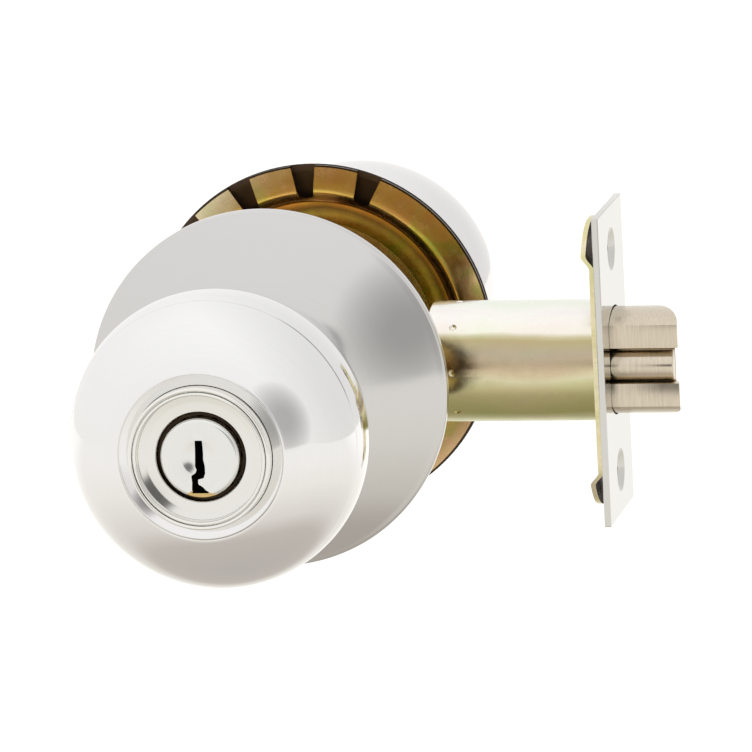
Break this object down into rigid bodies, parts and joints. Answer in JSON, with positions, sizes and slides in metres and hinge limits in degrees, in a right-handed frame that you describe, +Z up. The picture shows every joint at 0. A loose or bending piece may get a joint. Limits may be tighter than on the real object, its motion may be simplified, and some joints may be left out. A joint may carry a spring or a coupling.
{
  "type": "keyed knob lockset",
  "caption": "Bored-door knob lockset: keyed knob outside, turn-button knob inside, round roses, tubular latch with bevelled bolt and deadlocking plunger.",
  "frame": {"origin": "where the knob axis crosses the latch centre line, half way through the door's thickness", "axes": "+X towards the latch edge of the door, -Y out of the door on the keyed side, +Z up"},
  "size_m": [0.1055, 0.168, 0.066],
  "materials": {
    "polished": "mirror-polished stainless steel",
    "satin": "fine satin-polished stainless steel",
    "faceplate": "polished stainless steel plate",
    "yellow_zinc": "yellow dichromated zinc on steel, iridescent",
    "bolt_metal": "satin cast stainless steel, warm grey",
    "steel": "plain zinc-plated steel",
    "brass": "turned brass",
    "spring_steel": "drawn spring wire"
  },
  "bodies": {
    "chassis": {"chassis_housing": "yellow_zinc", "outer_rose": "satin", "outer_rose_liner": "yellow_zinc", "outer_hub": "steel", "screw_post_upper": "steel", "screw_post_lower": "steel", "mounting_screw_upper": "steel", "mounting_screw_lower": "steel", "inner_mounting_plate": "yellow_zinc", "inner_rose": "satin", "inner_hub": "steel", "latch_tube": "yellow_zinc", "latch_tube_plug": "steel", "backing_plate": "yellow_zinc", "faceplate": "faceplate", "retractor_spring_upper": "spring_steel", "retractor_spring_lower": "spring_steel", "bolt_spring": "spring_steel", "plunger_spring": "spring_steel"},
    "outer_knob": {"outer_knob_front_shell": "polished", "outer_knob_rear_shell": "polished", "outer_knob_insert": "steel", "outer_spindle": "steel", "cylinder_ring": "polished", "cylinder_collar": "satin", "cylinder_shell": "brass", "pin_cover": "brass", "driver_pin_1": "brass", "driver_pin_2": "brass", "driver_pin_3": "brass", "driver_pin_4": "brass", "driver_pin_5": "brass", "pin_spring_1": "spring_steel", "pin_spring_2": "spring_steel", "pin_spring_3": "spring_steel", "pin_spring_4": "spring_steel", "pin_spring_5": "spring_steel"},
    "key_plug": {"cylinder_plug": "satin", "plug_retainer": "steel", "tailpiece": "steel", "key_pin_1": "brass", "key_pin_2": "brass", "key_pin_3": "brass", "key_pin_4": "brass", "key_pin_5": "brass"},
    "outer_catch": {"outer_knob_catch": "steel"},
    "inner_knob": {"inner_knob_front_shell": "polished", "inner_knob_rear_shell": "polished", "inner_knob_insert": "steel", "inner_spindle": "steel", "inner_knob_ring": "polished"},
    "lock_button": {"turn_button": "satin", "button_shaft": "steel"},
    "inner_catch": {"inner_knob_catch": "steel"},
    "retractor": {"retractor": "steel"},
    "latch_bolt": {"latch_bolt": "bolt_metal", "latch_tail": "steel"},
    "plunger": {"deadlatch_plunger": "bolt_metal"}
  },
  "joints": [
    {"name": "outer_knob_turn", "type": "hinge", "parent": "chassis", "child": "outer_knob", "pos_m": [0, -0.06, 0], "axis": [0, 1, 0], "range_deg": [0, 65], "stiffness_Nm_per_rad": 0.4, "springref_deg": -17.19},
    {"name": "retractor_slide", "type": "slide", "parent": "chassis", "child": "retractor", "axis": [-1, 0, 0], "range_m": [0, 0.0121], "deforming": ["retractor_spring_upper", "retractor_spring_lower"]},
    {"name": "latch_bolt_slide", "type": "slide", "parent": "chassis", "child": "latch_bolt", "axis": [-1, 0, 0], "range_m": [0, 0.0121], "deforming": ["bolt_spring"]},
    {"name": "plunger_slide", "type": "slide", "parent": "latch_bolt", "child": "plunger", "axis": [-1, 0, 0], "range_m": [0, 0.008], "stiffness_N_per_m": 60, "springref_m": -0.01, "deforming": ["plunger_spring"]},
    {"name": "key_plug_turn", "type": "hinge", "parent": "outer_knob", "child": "key_plug", "pos_m": [0, -0.068, 0], "axis": [0, 1, 0], "range_deg": [-90, 90]},
    {"name": "outer_catch_press", "type": "slide", "parent": "outer_knob", "child": "outer_catch", "axis": [0, 0, 1], "range_m": [0, 0.0024], "stiffness_N_per_m": 400, "springref_m": -0.002},
    {"name": "inner_knob_turn", "type": "hinge", "parent": "chassis", "child": "inner_knob", "pos_m": [0, 0.06, 0], "axis": [0, 1, 0], "range_deg": [-65, 65], "stiffness_Nm_per_rad": 0.4},
    {"name": "lock_button_turn", "type": "hinge", "parent": "inner_knob", "child": "lock_button", "pos_m": [0, 0.08, 0], "axis": [0, -1, 0], "range_deg": [0, 90]},
    {"name": "inner_catch_press", "type": "slide", "parent": "inner_knob", "child": "inner_catch", "axis": [0, 0, 1], "range_m": [0, 0.0024], "stiffness_N_per_m": 400, "springref_m": -0.002}
  ],
  "couplings": [
    {"joint": "retractor_slide", "follows": "outer_knob_turn", "m_per_rad": 0.010578},
    {"joint": "latch_bolt_slide", "follows": "outer_knob_turn", "m_per_rad": 0.010578}
  ]
}
